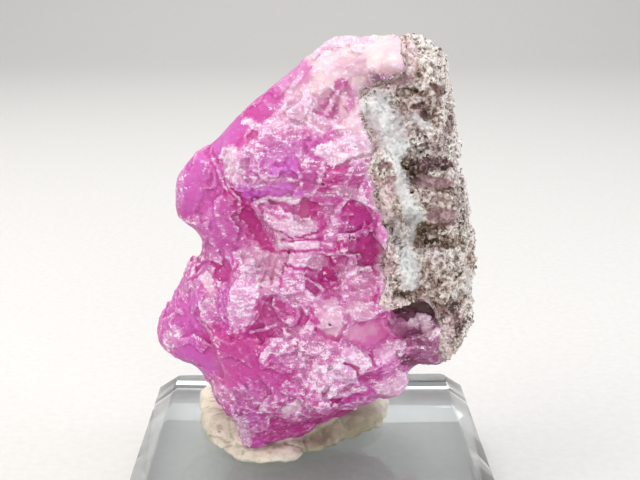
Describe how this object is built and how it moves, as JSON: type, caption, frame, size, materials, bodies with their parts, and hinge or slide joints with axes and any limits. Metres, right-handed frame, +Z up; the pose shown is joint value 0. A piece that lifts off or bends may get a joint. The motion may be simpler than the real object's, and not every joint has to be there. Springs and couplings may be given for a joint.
{
  "type": "mineral specimen",
  "caption": "Broken lump of translucent pink cobaltoan calcite on gritty grey host rock, set in putty on a clear bevelled display base.",
  "frame": {"origin": "middle of the display base's underside", "axes": "+Z up, -Y towards the viewer (the pink face), +X to the viewer's right (the host rock's side)"},
  "size_m": [0.038, 0.038, 0.0525],
  "materials": {
    "calcite": "translucent, glossy cleavage with sugary white fracture",
    "host_rock": "rough and gritty",
    "putty": "matt, kneaded",
    "acrylic": "clear, polished"
  },
  "bodies": {
    "root": {"calcite": "calcite", "host_rock": "host_rock", "putty_pad": "putty", "display_base": "acrylic"}
  },
  "joints": []
}
